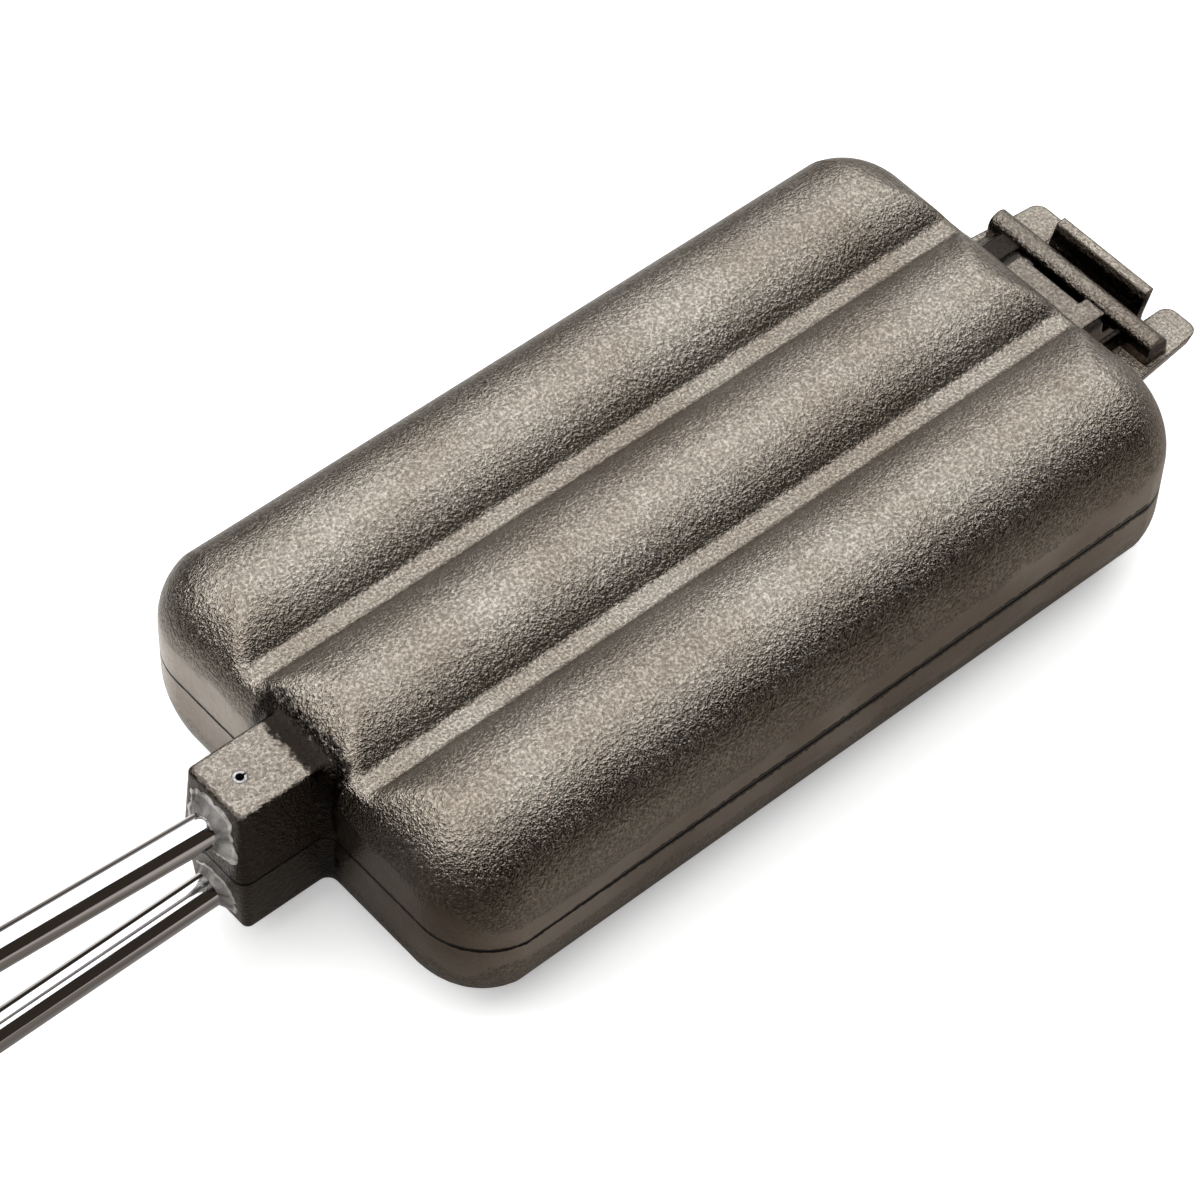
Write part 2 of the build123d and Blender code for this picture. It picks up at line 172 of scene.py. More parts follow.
# %% [markdown]
# ## Where the iron is ground
# Each half is ground on its upright rim after casting, so that the two close neatly. The
# band is narrow at the rods' end of the long sides and widens to the hinge, and on the two
# end walls it is as wide as there. Pairs of numbers are where a mask is 0 and where it is 1.

# %% The ground rim
RIM_NEAR_MM = 5.0
RIM_FAR_MM = 10.5
RIM_WAVER_MM = 9.0
RIM_EDGE = (1.12, 0.88)
RIM_START_MM = (-0.6, -0.1)
UPRIGHT_LEAN = (0.42, 0.18)
END_FACING = (0.5, 0.9)


def ground_rim(tree, apart, facing, place):
    """1 on the upright bands beside the parting plane, which are ground flat after casting."""
    lean = node(tree, "ShaderNodeMath", {0: facing["Z"]}, out=0, operation="ABSOLUTE")
    upright = node(tree, "ShaderNodeMapRange", {
        "Value": lean, "From Min": UPRIGHT_LEAN[0], "From Max": UPRIGHT_LEAN[1]},
        out=0, interpolation_type="SMOOTHSTEP")
    above = node(tree, "ShaderNodeMath", {0: apart["Z"], 1: parting_z}, out=0, operation="SUBTRACT")
    off_plane = node(tree, "ShaderNodeMath", {0: above}, out=0, operation="ABSOLUTE")
    along = node(tree, "ShaderNodeMapRange", {
        "Value": apart["X"], "From Min": head_start, "From Max": head_end,
        "To Min": RIM_NEAR_MM * MM, "To Max": RIM_FAR_MM * MM}, out=0)
    end_lean = node(tree, "ShaderNodeMath", {0: facing["X"]}, out=0, operation="ABSOLUTE")
    ends = node(tree, "ShaderNodeMapRange", {
        "Value": end_lean, "From Min": END_FACING[0], "From Max": END_FACING[1]},
        out=0, interpolation_type="SMOOTHSTEP")
    reach = node(tree, "ShaderNodeMix", {0: ends, 2: along, 3: RIM_FAR_MM * MM},
                 out=0, data_type="FLOAT")
    waver = node(tree, "ShaderNodeTexNoise", {
        "Vector": place, "Scale": per_metre(RIM_WAVER_MM), "Detail": 3.0}, out=0)
    wander = node(tree, "ShaderNodeMath", {0: waver, 1: 0.5}, out=0, operation="ADD")
    height = node(tree, "ShaderNodeMath", {0: reach, 1: wander}, out=0, operation="MULTIPLY")
    share = node(tree, "ShaderNodeMath", {0: off_plane, 1: height}, out=0, operation="DIVIDE")
    band = node(tree, "ShaderNodeMapRange", {
        "Value": share, "From Min": RIM_EDGE[0], "From Max": RIM_EDGE[1]},
        out=0, interpolation_type="SMOOTHSTEP")
    head_only = node(tree, "ShaderNodeMapRange", {
        "Value": apart["X"], **span(*RIM_START_MM, head_start)}, out=0)
    both = node(tree, "ShaderNodeMath", {0: band, 1: upright}, out=0, operation="MULTIPLY")
    return node(tree, "ShaderNodeMath", {0: both, 1: head_only}, out=0, operation="MULTIPLY")


print("rim ground", RIM_NEAR_MM, "to", RIM_FAR_MM, "mm wide on each half")

# %% [markdown]
# ## Where the iron is dark or greasy
# The socket blocks stay as cast, and oil has baked to a dark crust on their sides, ragged
# where it reaches the flat top. The hollow where a block meets the head is painted almost
# black, as painted shade. Grease collects round the hinge, and dirt along the line where
# the halves meet.

# %% Crust on the socket blocks
CRUST_HALF_WIDTH_MM = 8.5
CRUST_FRONT_MM = 2.6
CRUST_BACK_MM = 1.6
CRUST_RAGGED_MM = 2.2
CRUST_EDGE_MM = (0.75, 1.35)
CRUST_LEAST = 0.2
CRUST_SQUEEZE = (1.0, 1.35, 0.55)
CRUST_REACH_MM = (31.0, 24.5)


def socket_crust(tree, apart, clump, place):
    """1 on the sides of the socket blocks, with a ragged edge along their flat tops."""
    off_middle = node(tree, "ShaderNodeMath", {0: apart["Y"]}, out=0, operation="ABSOLUTE")
    past_side = node(tree, "ShaderNodeMath", {0: off_middle, 1: CRUST_HALF_WIDTH_MM * MM},
                     out=0, operation="SUBTRACT")
    past_front = node(tree, "ShaderNodeMath", {
        0: block_front + CRUST_FRONT_MM * MM, 1: apart["X"]}, out=0, operation="SUBTRACT")
    past_back = node(tree, "ShaderNodeMath", {
        0: apart["X"], 1: head_start - CRUST_BACK_MM * MM}, out=0, operation="SUBTRACT")
    past_end = node(tree, "ShaderNodeMath", {0: past_front, 1: past_back},
                    out=0, operation="MAXIMUM")
    past = node(tree, "ShaderNodeMath", {0: past_side, 1: past_end}, out=0, operation="MAXIMUM")
    ragged = node(tree, "ShaderNodeMath", {0: clump, 1: CRUST_RAGGED_MM * MM, 2: past},
                  out=0, operation="MULTIPLY_ADD")
    crust = node(tree, "ShaderNodeMapRange", {
        "Value": ragged, **span(*CRUST_EDGE_MM), "To Min": CRUST_LEAST},
        out=0, interpolation_type="SMOOTHSTEP")
    from_block = node(tree, "ShaderNodeVectorMath", {
        0: place, 1: (block_front, 0, parting_z)}, out=0, operation="SUBTRACT")
    squeezed = node(tree, "ShaderNodeVectorMath", {0: from_block, 1: CRUST_SQUEEZE},
                    out=0, operation="MULTIPLY")
    away = node(tree, "ShaderNodeVectorMath", {0: squeezed}, out="Value", operation="LENGTH")
    near_block = node(tree, "ShaderNodeMapRange", {"Value": away, **span(*CRUST_REACH_MM)},
                      out=0, interpolation_type="SMOOTHSTEP")
    return node(tree, "ShaderNodeMath", {0: crust, 1: near_block}, out=0, operation="MULTIPLY")


print("crust reaches", CRUST_REACH_MM[1], "mm from the front of a block")

# %% Painted shade in the hollow behind the socket blocks
JOIN_START_MM = (-3.4, -0.6)
JOIN_STOP_MM = (6.5, 2.0)
JOIN_SIDE_MM = (15.5, 11.5)
JOIN_RAGGED = 1.8
JOIN_EDGE = (0.1, 0.7)
JOIN_INSIDE = 0.3


def block_join_shade(tree, apart, clump):
    """1 in the hollow where a socket block meets the head, which is painted nearly black as shade.
    """
    start = node(tree, "ShaderNodeMapRange", {
        "Value": apart["X"], **span(*JOIN_START_MM, head_start)}, out=0)
    stop = node(tree, "ShaderNodeMapRange", {
        "Value": apart["X"], **span(*JOIN_STOP_MM, head_start)}, out=0)
    off_middle = node(tree, "ShaderNodeMath", {0: apart["Y"]}, out=0, operation="ABSOLUTE")
    between = node(tree, "ShaderNodeMapRange", {"Value": off_middle, **span(*JOIN_SIDE_MM)}, out=0)
    both = node(tree, "ShaderNodeMath", {0: start, 1: stop}, out=0, operation="MULTIPLY")
    patch = node(tree, "ShaderNodeMath", {0: both, 1: between}, out=0, operation="MULTIPLY")
    ragged = node(tree, "ShaderNodeMath", {0: clump, 1: -0.5}, out=0, operation="ADD")
    worn = node(tree, "ShaderNodeMath", {0: ragged, 1: JOIN_RAGGED, 2: patch},
                out=0, operation="MULTIPLY_ADD")
    dark = node(tree, "ShaderNodeMapRange", {
        "Value": worn, "From Min": JOIN_EDGE[0], "From Max": JOIN_EDGE[1]},
        out=0, interpolation_type="SMOOTHSTEP")
    inside = node(tree, "ShaderNodeMapRange", {"Value": patch, "From Max": JOIN_INSIDE}, out=0)
    return node(tree, "ShaderNodeMath", {0: dark, 1: inside}, out=0, operation="MULTIPLY")


print("hollow is dark to", JOIN_STOP_MM[1], "mm past the head's end wall")

# %% Grease round the hinge
FILM_START_MM = (-3.0, 1.0)
FILM_STOP_MM = (19.0, 17.0)
FILM_SIDE_MM = (16.9, 15.7)
BAR_REACH_MM = 20.9
BAR_DROP_MM = 0.5
BAR_FILM_MM = (3.4, 3.1)


def hinge_film(tree, apart, place):
    """1 on the tongue between the head and the bar, and on the bar, where grease collects."""
    inward = node(tree, "ShaderNodeMapRange", {
        "Value": apart["X"], **span(*FILM_STOP_MM, head_end)}, out=0)
    outward = node(tree, "ShaderNodeMapRange", {
        "Value": apart["X"], **span(*FILM_START_MM, head_end)}, out=0)
    off_middle = node(tree, "ShaderNodeMath", {0: apart["Y"]}, out=0, operation="ABSOLUTE")
    between = node(tree, "ShaderNodeMapRange", {"Value": off_middle, **span(*FILM_SIDE_MM)}, out=0)
    both = node(tree, "ShaderNodeMath", {0: inward, 1: outward}, out=0, operation="MULTIPLY")
    tongue = node(tree, "ShaderNodeMath", {0: both, 1: between}, out=0, operation="MULTIPLY")
    flat = node(tree, "ShaderNodeVectorMath", {0: place, 1: (1, 0, 1)}, out=0, operation="MULTIPLY")
    off_axis = node(tree, "ShaderNodeVectorMath", {
        0: flat, 1: (head_end + BAR_REACH_MM * MM, 0, parting_z - BAR_DROP_MM * MM)},
        out="Value", operation="DISTANCE")
    bar = node(tree, "ShaderNodeMapRange", {"Value": off_axis, **span(*BAR_FILM_MM)}, out=0)
    return node(tree, "ShaderNodeMath", {0: tongue, 1: bar}, out=0, operation="MAXIMUM")


print("hinge bar at x =", round(head_end / MM + BAR_REACH_MM, 1), "mm")

# %% Dirt along the parting plane
DIRT_WIDENS_MM = (15.0, 70.0)
DIRT_LEAST = 0.45
DIRT_RAGGED_MM = 2.2
DIRT_EDGE_MM = (0.45, 0.0)


def parting_dirt(tree, apart, clump):
    """1 beside the parting plane, a ragged dark line that widens away from the rods' end."""
    above = node(tree, "ShaderNodeMath", {0: apart["Z"], 1: parting_z}, out=0, operation="SUBTRACT")
    off_plane = node(tree, "ShaderNodeMath", {0: above}, out=0, operation="ABSOLUTE")
    width = node(tree, "ShaderNodeMapRange", {
        "Value": apart["X"], **span(*DIRT_WIDENS_MM, head_start), "To Min": DIRT_LEAST}, out=0)
    share = node(tree, "ShaderNodeMath", {0: off_plane, 1: width}, out=0, operation="DIVIDE")
    ragged = node(tree, "ShaderNodeMath", {0: clump, 1: -DIRT_RAGGED_MM * MM, 2: share},
                  out=0, operation="MULTIPLY_ADD")
    return node(tree, "ShaderNodeMapRange", {"Value": ragged, **span(*DIRT_EDGE_MM)},
                out=0, interpolation_type="SMOOTHSTEP")


print("dirt is widest from", DIRT_WIDENS_MM[1], "mm along the head")

# %% [markdown]
# ## Sand cast iron, oiled
# Molten grey iron takes the print of the sand it is poured into, so its skin is a field of
# fine bumps about half a millimetre across, and each bump carries its own glint. Oil and
# heat turn it a warm grey brown and gather as a dark film along edges, and its corners and
# creases are darkened with painted shade.

# %% Cast iron
SAND_GRAIN_MM = 0.68
CLUMP_MM = 1.4
FINE_MM = 0.34
WAVE_MM = 24.0
SOFT_EDGE_MM = 0.9
CORNER_REACH_MM = 14.0
GRAIN_DEPTH_MM = 0.29
CLUMP_HEIGHT = 0.8
FINE_HEIGHT = 0.22
GROUND_DEPTH = 0.22
EDGE_TURN = (0.98, 0.80)
OPEN_SKY = (0.86, 0.30)
# Shares of the dark oil film on edges and of the painted shade in corners and creases.
EDGE_OIL_AND_SHADE = 0.55
CORNER_SHADE = 0.68
HINGE_SHARE = 0.4
RIM_SHARE = 0.8
CRUST_SHARE = 0.8
SHADE_AND_DIRT_SHARE = 0.95
# The first colour is the oil film and the painted shade in corners and creases.
OIL_AND_SHADE_COLOUR = "#352E28"
CRUST_COLOUR = "#3B342E"
# The last colour is the painted shade in the hollows, and the dirt along the parting plane.
SHADE_AND_DIRT_COLOUR = "#1A1613"


def iron_colour(tree, place, apart, soft, true_normal, sand, clump, rim):
    """Colour of the iron: grain and broad waves, then ground rims, then oil and painted shade,
    crust, dirt.
    """
    wave = node(tree, "ShaderNodeTexNoise", {
        "Vector": place, "Scale": per_metre(WAVE_MM), "Detail": 4.0}, out=0)
    tint = node(tree, "ShaderNodeValToRGB", {"Fac": sand}, out=0, stops=[
        (0.34, "#69635C"), (0.50, "#827C74"), (0.66, "#9E988F")])
    shade = node(tree, "ShaderNodeValToRGB", {"Fac": wave}, out=0, stops=[
        (0.34, "#E6E2DE"), (0.62, "#FFFFFF")])
    body = node(tree, "ShaderNodeMix", {6: tint, 7: shade, 0: 1.0},
                out=2, data_type="RGBA", blend_type="MULTIPLY")
    ground_tint = node(tree, "ShaderNodeValToRGB", {"Fac": wave}, out=0, stops=[
        (0.36, "#82776D"), (0.52, "#948C84"), (0.66, "#A19A92")])
    ground = node(tree, "ShaderNodeMath", {0: rim, 1: RIM_SHARE}, out=0, operation="MULTIPLY")
    bare = node(tree, "ShaderNodeMix", {0: ground, 6: body, 7: ground_tint},
                out=2, data_type="RGBA")

    # Edges and creases turn darker: an oil film along the edges, and painted shade in the creases.
    turn = node(tree, "ShaderNodeVectorMath", {0: soft, 1: true_normal},
                out="Value", operation="DOT_PRODUCT")
    edge = node(tree, "ShaderNodeMapRange", {
        "Value": turn, "From Min": EDGE_TURN[0], "From Max": EDGE_TURN[1],
        "To Max": EDGE_OIL_AND_SHADE}, out=0)
    # Ambient occlusion darkens the corners: this is painted shade.
    sky_share = node(tree, "ShaderNodeAmbientOcclusion", {"Distance": CORNER_REACH_MM * MM},
                     out="AO", samples=8)
    corner_shade = node(tree, "ShaderNodeMapRange", {
        "Value": sky_share, "From Min": OPEN_SKY[0], "From Max": OPEN_SKY[1],
        "To Max": CORNER_SHADE}, out=0)
    corner_shade_and_edge_oil = node(tree, "ShaderNodeMath", {0: edge, 1: corner_shade}, out=0, operation="MAXIMUM")
    on_hinge = node(tree, "ShaderNodeMath", {0: hinge_film(tree, apart, place), 1: HINGE_SHARE},
                    out=0, operation="MULTIPLY")
    # The oil film and painted corner shade, with grease on the hinge, mix toward one dark colour.
    oil_and_shade = node(tree, "ShaderNodeMath", {0: corner_shade_and_edge_oil, 1: on_hinge}, out=0, operation="MAXIMUM")
    oiled_and_shaded = node(tree, "ShaderNodeMix", {0: oil_and_shade, 6: bare, 7: colour(OIL_AND_SHADE_COLOUR)},
                 out=2, data_type="RGBA")

    baked = node(tree, "ShaderNodeMath", {
        0: socket_crust(tree, apart, clump, place), 1: CRUST_SHARE}, out=0, operation="MULTIPLY")
    crusted = node(tree, "ShaderNodeMix", {0: baked, 6: oiled_and_shaded, 7: colour(CRUST_COLOUR)},
                   out=2, data_type="RGBA")
    # Painted shade in the hollow behind the blocks, together with dirt along the parting plane.
    join_shade_and_dirt = node(tree, "ShaderNodeMath", {
        0: block_join_shade(tree, apart, clump), 1: parting_dirt(tree, apart, clump)},
        out=0, operation="MAXIMUM")
    hollow = node(tree, "ShaderNodeMath", {0: join_shade_and_dirt, 1: SHADE_AND_DIRT_SHARE},
                  out=0, operation="MULTIPLY")
    return node(tree, "ShaderNodeMix", {0: hollow, 6: crusted, 7: colour(SHADE_AND_DIRT_COLOUR)},
                out=2, data_type="RGBA")


def cast_iron():
    """Sandy oiled iron, with smoother ground rims, dark oil on its edges and painted shade in its
    corners.
    """
    material, tree, shader = new_material("oiled_cast_iron")
    place = node(tree, "ShaderNodeTexCoord", out="Object")
    true_normal = node(tree, "ShaderNodeNewGeometry", out="True Normal")
    apart = node(tree, "ShaderNodeSeparateXYZ", {"Vector": place}).outputs
    facing = node(tree, "ShaderNodeSeparateXYZ", {"Vector": true_normal}).outputs
    soft = node(tree, "ShaderNodeBevel", {"Radius": SOFT_EDGE_MM * MM}, out="Normal", samples=6)
    sand = node(tree, "ShaderNodeTexNoise", {
        "Vector": place, "Scale": per_metre(SAND_GRAIN_MM), "Detail": 2.0, "Roughness": 0.6}, out=0)
    clump = node(tree, "ShaderNodeTexNoise", {
        "Vector": place, "Scale": per_metre(CLUMP_MM), "Detail": 2.0}, out=0)
    fine = node(tree, "ShaderNodeTexNoise", {
        "Vector": place, "Scale": per_metre(FINE_MM), "Detail": 1.0}, out=0)
    rim = ground_rim(tree, apart, facing, place)

    shown = iron_colour(tree, place, apart, soft, true_normal, sand, clump, rim)
    tree.links.new(shown, shader.inputs["Base Color"])
    shader.inputs["Metallic"].default_value = 1.0
    gloss = node(tree, "ShaderNodeMapRange", {
        "Value": clump, "From Min": 0.35, "From Max": 0.65, "To Min": 0.24, "To Max": 0.15}, out=0)
    tree.links.new(gloss, shader.inputs["Roughness"])

    coarse = node(tree, "ShaderNodeMath", {0: clump, 1: CLUMP_HEIGHT, 2: sand},
                  out=0, operation="MULTIPLY_ADD")
    height = node(tree, "ShaderNodeMath", {0: fine, 1: FINE_HEIGHT, 2: coarse},
                  out=0, operation="MULTIPLY_ADD")
    depth = node(tree, "ShaderNodeMapRange", {
        "Value": rim, "To Min": 1.0, "To Max": GROUND_DEPTH}, out=0)
    grain = node(tree, "ShaderNodeBump", {
        "Height": height, "Strength": depth, "Distance": GRAIN_DEPTH_MM * MM,
        "Normal": soft}, out=0)
    tree.links.new(grain, shader.inputs["Normal"])
    return material


print("sand grain", SAND_GRAIN_MM, "mm across and up to", GRAIN_DEPTH_MM, "mm deep")

# %% [markdown]
# ## Chromed rods, cement, steel and wood
# The rods are mild steel with bright chrome plating, which mirrors the white table and the
# dark room as long bands. The screws and the latch are zinc plated, the pins are spring
# steel, and the grips are turned beech.

# %% Chrome and zinc
CHROME_SMEAR_MM = 6.0
ZINC_GRAIN_MM = 0.8


def chrome():
    """Polished chrome plate, with the faint smears that handling leaves."""
    material, tree, shader = new_material("bright_chrome_plate")
    place = node(tree, "ShaderNodeTexCoord", out="Object")
    smear = node(tree, "ShaderNodeTexNoise", {
        "Vector": place, "Scale": per_metre(CHROME_SMEAR_MM), "Detail": 4.0}, out=0)
    gloss = node(tree, "ShaderNodeMapRange", {
        "Value": smear, "From Min": 0.4, "From Max": 0.75, "To Min": 0.04, "To Max": 0.11}, out=0)
    shader.inputs["Base Color"].default_value = colour("#DADADC")
    shader.inputs["Metallic"].default_value = 1.0
    tree.links.new(gloss, shader.inputs["Roughness"])
    return material


def zinc_steel():
    """Zinc plated steel with a fine satin grain."""
    material, tree, shader = new_material("zinc_plated_steel")
    place = node(tree, "ShaderNodeTexCoord", out="Object")
    grain = node(tree, "ShaderNodeTexNoise", {
        "Vector": place, "Scale": per_metre(ZINC_GRAIN_MM), "Detail": 3.0}, out=0)
    tint = node(tree, "ShaderNodeValToRGB", {"Fac": grain}, out=0, stops=[
        (0.3, "#8F9092"), (0.7, "#B9BABD")])
    gloss = node(tree, "ShaderNodeMapRange", {
        "Value": grain, "From Min": 0.3, "From Max": 0.7, "To Min": 0.50, "To Max": 0.34}, out=0)
    tree.links.new(tint, shader.inputs["Base Color"])
    shader.inputs["Metallic"].default_value = 1.0
    tree.links.new(gloss, shader.inputs["Roughness"])
    return material


print("chrome smears", CHROME_SMEAR_MM, "mm, zinc grain", ZINC_GRAIN_MM, "mm")

# %% Pins and cement
PIN_BLOOM_MM = 0.7
CEMENT_STREAK_MM = 3.2
CEMENT_DEPTH_MM = 0.35


def blued_steel():
    """Rolled spring steel, left dark blue grey by its heat treatment."""
    material, tree, shader = new_material("blued_spring_steel")
    place = node(tree, "ShaderNodeTexCoord", out="Object")
    bloom = node(tree, "ShaderNodeTexNoise", {
        "Vector": place, "Scale": per_metre(PIN_BLOOM_MM), "Detail": 3.0}, out=0)
    tint = node(tree, "ShaderNodeValToRGB", {"Fac": bloom}, out=0, stops=[
        (0.35, "#7A787C"), (0.65, "#A5A3A2")])
    tree.links.new(tint, shader.inputs["Base Color"])
    shader.inputs["Metallic"].default_value = 1.0
    shader.inputs["Roughness"].default_value = 0.34
    return material


def cement():
    """Grey sealing cement, wiped on by a finger: pale and smooth with darker streaks, thin at its
    edge.
    """
    material, tree, shader = new_material("grey_sealing_cement")
    place = node(tree, "ShaderNodeTexCoord", out="Object")
    streak = node(tree, "ShaderNodeTexNoise", {
        "Vector": place, "Scale": per_metre(CEMENT_STREAK_MM), "Detail": 4.0,
        "Distortion": 0.6}, out=0)
    tint = node(tree, "ShaderNodeValToRGB", {"Fac": streak}, out=0, stops=[
        (0.34, "#5E5A55"), (0.47, "#9A9691"), (0.68, "#C9C6C2")])
    tree.links.new(tint, shader.inputs["Base Color"])
    shader.inputs["Roughness"].default_value = 0.38
    bump = node(tree, "ShaderNodeBump", {
        "Height": streak, "Strength": 0.6, "Distance": CEMENT_DEPTH_MM * MM}, out=0)
    tree.links.new(bump, shader.inputs["Normal"])
    return material


print("cement streaks", CEMENT_STREAK_MM, "mm wide")

# %% Beech
RING_MM = 3.0
PORE_MM = 0.7
PORE_DEPTH_MM = 0.15
GRAIN_STRETCH = (0.08, 1.0, 1.0)
FLECK_SHARE = 0.7


def beech():
    """Turned beech under clear varnish: long pores and short darker flecks along the grain."""
    material, tree, shader = new_material("varnished_beech")
    place = node(tree, "ShaderNodeTexCoord", out="Object")
    along = node(tree, "ShaderNodeMapping", {"Vector": place, "Scale": GRAIN_STRETCH}, out=0)
    rings = node(tree, "ShaderNodeTexNoise", {
        "Vector": along, "Scale": per_metre(RING_MM), "Detail": 4.0, "Distortion": 0.4}, out=0)
    pores = node(tree, "ShaderNodeTexNoise", {
        "Vector": along, "Scale": per_metre(PORE_MM), "Detail": 2.0}, out=0)
    tint = node(tree, "ShaderNodeValToRGB", {"Fac": rings}, out=0, stops=[
        (0.3, "#B98A5C"), (0.5, "#CFA273"), (0.7, "#DDB589")])
    fleck = node(tree, "ShaderNodeValToRGB", {"Fac": pores}, out=0, stops=[
        (0.34, "#CECECE"), (0.5, "#FFFFFF")])
    mixed = node(tree, "ShaderNodeMix", {6: tint, 7: fleck, 0: FLECK_SHARE},
                 out=2, data_type="RGBA", blend_type="MULTIPLY")
    tree.links.new(mixed, shader.inputs["Base Color"])
    shader.inputs["Roughness"].default_value = 0.42
    shader.inputs["Coat Weight"].default_value = 0.35
    shader.inputs["Coat Roughness"].default_value = 0.2
    bump = node(tree, "ShaderNodeBump", {
        "Height": pores, "Strength": 0.1, "Distance": PORE_DEPTH_MM * MM}, out=0)
    tree.links.new(bump, shader.inputs["Normal"])
    return material


print("beech pores", PORE_MM, "mm wide")

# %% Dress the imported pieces
finishes = {
    "casting": cast_iron(),
    "rod": chrome(),
    "bead": cement(),
    "grip": beech(),
    "pin": blued_steel(),
}
other_steel = zinc_steel()
for name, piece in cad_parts.items():
    last_word = name.split("_")[-1]
    piece.data.materials.clear()
    piece.data.materials.append(finishes.get(last_word, other_steel))
    print(name, "wears", piece.data.materials[0].name)

# %% [markdown]
# ## Cement wiped round the rods
# Each rod is sealed in its socket with furnace cement, pushed in and wiped off with a
# finger, so it climbs a little way up the rod and thins out to a wandering edge on the
# block's face. Here a ring of points at the rod is extruded outwards ring by ring, and the
# outer rings are pulled in and out by noise. The imported bead stays behind for collision,
# hidden.

# %% Cement smears
RING_SHAPE_MM = (
    (3.9, 1.9), (4.3, 1.3), (4.9, 0.75), (5.8, 0.42), (6.8, 0.26), (7.6, 0.16), (8.0, -0.4),
)
RING_WANDER = (0.0, 0.02, 0.05, 0.09, 0.13, 0.16, 0.16)
RING_POINTS = 72
SLOW_WAVES, SLOW_SEED = 1.7, 3.0
QUICK_WAVES, QUICK_SEED, QUICK_SHARE = 5.0, 7.0, 0.5
WANDER_GAIN = 2.0
FACE_HALF_WIDTH_MM = 8.6
FACE_LOW_MM, FACE_HIGH_MM = 0.8, 18.4
BLOCK_DRAFT = radians(4.99)


def skirt_rings(mesh):
    """Extrudes a closed skirt of rings from the rod outwards, and returns the rings."""
    turn = Matrix.Rotation(radians(90), 4, "Y")
    start = RING_SHAPE_MM[0][0] * MM
    ring = bmesh.ops.create_circle(
        mesh, cap_ends=False, segments=RING_POINTS, radius=start, matrix=turn)["verts"]
    first_edges = list(mesh.edges)
    rings, edges = [ring], first_edges
    for (previous, _), (radius, _) in zip(RING_SHAPE_MM, RING_SHAPE_MM[1:]):
        made = bmesh.ops.extrude_edge_only(mesh, edges=edges)["geom"]
        ring = [part for part in made if isinstance(part, bmesh.types.BMVert)]
        edges = [part for part in made if isinstance(part, bmesh.types.BMEdge)]
        bmesh.ops.scale(mesh, vec=(1, radius / previous, radius / previous), verts=ring)
        rings.append(ring)
    bmesh.ops.bridge_loops(mesh, edges=edges + first_edges)
    return rings


def cement_smear(name, bead, body, side, spread):
    """A skirt of cement round one rod. side is 1 on the upper block and -1 on the lower.

    spread is its width beyond the rod, as a share of the widest ring's.
    """
    low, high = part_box(bead)
    middle_z = (low.z + high.z) / 2
    mesh = bmesh.new()
    start = RING_SHAPE_MM[0][0] * MM
    for ring, (radius, rise), wander in zip(skirt_rings(mesh), RING_SHAPE_MM, RING_WANDER):
        for vert in ring:
            way = Vector((0, vert.co.y, vert.co.z))
            slow = way.normalized() * SLOW_WAVES + Vector((side * SLOW_SEED, 0, 0))
            quick = way.normalized() * QUICK_WAVES + Vector((side * QUICK_SEED, 0, 0))
            push = noise.noise(slow) + QUICK_SHARE * noise.noise(quick)
            way *= (start + (radius * MM - start) * spread) / (radius * MM)
            way *= 1 + WANDER_GAIN * wander * push
            out_z = side * (middle_z + way.z - parting_z) / MM
            out_z = min(max(out_z, FACE_LOW_MM), FACE_HIGH_MM)
            across = min(max(way.y, -FACE_HALF_WIDTH_MM * MM), FACE_HALF_WIDTH_MM * MM)
            face_x = block_front + sin(BLOCK_DRAFT) * out_z * MM
            vert.co = (face_x - rise * MM, across, parting_z + side * out_z * MM)
    bmesh.ops.recalc_face_normals(mesh, faces=mesh.faces)
    data = bpy.data.meshes.new(name)
    mesh.to_mesh(data)
    mesh.free()
    data.shade_smooth()
    smear = bpy.data.objects.new(name, data)
    bpy.context.scene.collection.objects.link(smear)
    data.materials.append(finishes["bead"])
    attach(smear, body)
    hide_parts(bead)
    print(name, "has", len(data.polygons), "faces")


cement_smear("upper_cement_smear", "upper_sealing_bead", "upper_half", 1, 1.0)
cement_smear("lower_cement_smear", "lower_sealing_bead", "lower_half", -1, 0.6)

# %% [markdown]
# ## The table and the light
# The photograph was made on white paper under one wide softbox, with the paper rising
# behind the cooker and a dark room on the near side. The camera sees the paper as white,
# and pure white far off. Iron and chrome see the paper with painted shade and painted
# shadow: its colour for glossy rays is bright close to the cooker and behind it, and painted
# darker in front, further off and at the rods' end.

# %% Floor
PAPER_SIZE = 3.0
PAPER_LIFT = 0.42
PAPER_WHITE = "#F2F2F2"
# Paper colours for glossy rays: painted shade far off, painted shadow in front and at the rods'
# end.
CLOSE_TONE = "#D2CFCB"
FAR_SHADE_TONE, FAR_RODS_SHADOW_TONE = "#6A645E", "#3C3732"
FRONT_SHADOW_TONE, FRONT_RODS_SHADOW_TONE = "#9C958E", "#67615B"
FAR_MM = (20.0, 120.0)
FRONT_MM = (12.0, -24.0)
RODS_END_MM = (20.0, -30.0)
BLANK_MM = (500.0, 900.0)


